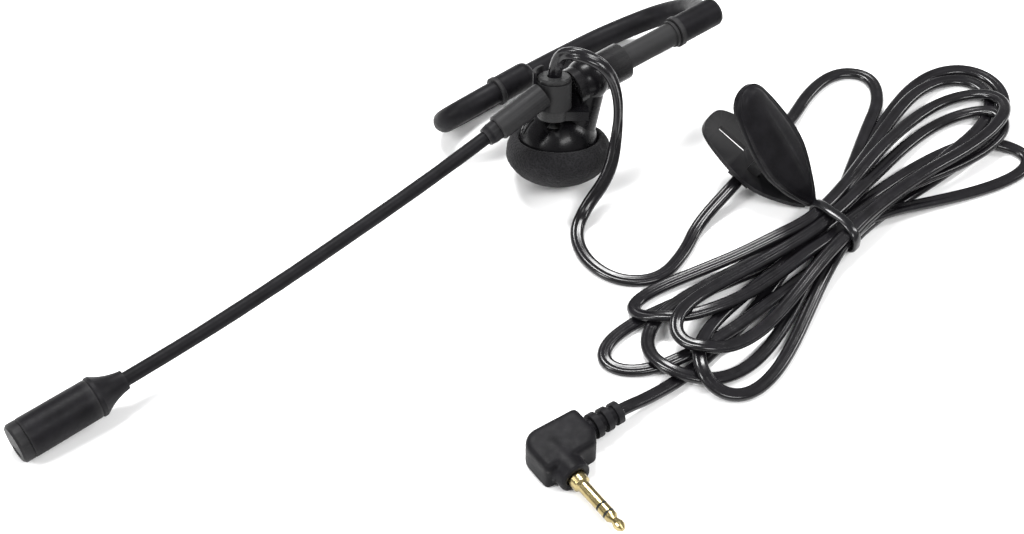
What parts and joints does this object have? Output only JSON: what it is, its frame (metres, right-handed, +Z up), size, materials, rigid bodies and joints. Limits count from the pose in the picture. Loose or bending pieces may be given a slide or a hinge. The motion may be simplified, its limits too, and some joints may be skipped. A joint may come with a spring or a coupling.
{
  "type": "headset microphone",
  "caption": "Single-ear headset microphone: earbud with foam cover, swivelling ear hook, bendable boom microphone, and a cord with clothing clip and right-angle plug.",
  "frame": {"origin": "on the table, below the middle of the box of the headset without its cord, clip and plug", "axes": "+Z up, +X from the microphone along the boom and the hook bar to the ear hook's sleeve, +Y towards the hook's loop"},
  "size_m": [0.2206, 0.1086, 0.0347],
  "materials": {
    "housing": "polished black moulding",
    "satin_plastic": "fine satin moulding texture",
    "soft_sleeve": "satin soft-touch sleeve",
    "foam": "open-cell foam",
    "cord": "satin extruded jacket",
    "tie": "glossy wrapped tie",
    "gold": "polished plating",
    "insulator": "polished",
    "steel": "drawn wire",
    "magnet": "nickel plated",
    "copper": "enamelled wire",
    "film": "thin formed film",
    "felt": "acoustic felt",
    "board": "printed board"
  },
  "bodies": {
    "earpiece": {"clip_back_plate": "satin_plastic", "clip_pin": "satin_plastic", "clip_spring": "steel", "cord_hank": "cord", "cord_lower": "cord", "cord_tie": "tie", "cord_upper": "cord", "earbud_front": "housing", "earpiece_shell": "housing", "foam_cover": "foam", "plug_body": "satin_plastic", "plug_insulators": "insulator", "plug_relief": "soft_sleeve", "plug_ring_contact": "gold", "plug_sleeve_contact": "gold", "plug_tip_contact": "gold", "speaker_diaphragm": "film", "speaker_frame": "satin_plastic", "speaker_magnet": "magnet", "speaker_pole_plate": "steel", "speaker_yoke": "steel", "swivel_post": "housing", "vent_felt": "felt", "voice_coil": "copper"},
    "boom_near": {"boom_arm": "satin_plastic", "swivel_washer": "satin_plastic", "boom_ferrule": "satin_plastic", "boom_tube_near": "soft_sleeve", "boom_wire_near": "steel"},
    "boom_far": {"boom_tube_far": "soft_sleeve", "boom_wire_far": "steel", "mic_front_cap": "satin_plastic", "mic_sleeve": "satin_plastic", "mic_felt": "felt", "mic_grommet": "soft_sleeve", "mic_capsule": "magnet", "mic_board": "board", "mic_boot": "soft_sleeve"},
    "hook_bar": {"hook_bar": "satin_plastic", "bar_stop_ring": "satin_plastic", "bar_snap_ring": "satin_plastic"},
    "ear_hook": {"hook_sleeve": "satin_plastic", "hook_tube": "soft_sleeve", "hook_wire": "steel", "hook_tip": "satin_plastic"},
    "clip_jaw": {"clip_front_plate": "satin_plastic"}
  },
  "joints": [
    {"name": "boom_swivel", "type": "hinge", "parent": "earpiece", "child": "boom_near", "pos_m": [0.0393, -0.00745, 0.0232], "axis": [0.2226, 0.2891, 0.9311], "range_deg": [0, 75]},
    {"name": "boom_bend", "type": "hinge", "parent": "boom_near", "child": "boom_far", "pos_m": [-0.00939, -0.00646, 0.0134], "axis": [0.0204, 0.9998, 0], "range_deg": [0, 60]},
    {"name": "hook_slide", "type": "slide", "parent": "earpiece", "child": "hook_bar", "axis": [1, 0, 0], "range_m": [-0.0062, 0.0018]},
    {"name": "hook_turn", "type": "hinge", "parent": "hook_bar", "child": "ear_hook", "pos_m": [0.0476, -0.00775, 0.0223], "axis": [1, 0, 0], "range_deg": [0, 110]},
    {"name": "clip_press", "type": "hinge", "parent": "earpiece", "child": "clip_jaw", "pos_m": [0.07068, -0.0385, 0.01083], "axis": [-0.9554, -0.2822, -0.0874], "range_deg": [0, 24], "stiffness_Nm_per_rad": 0.03, "springref_deg": -11.46}
  ]
}
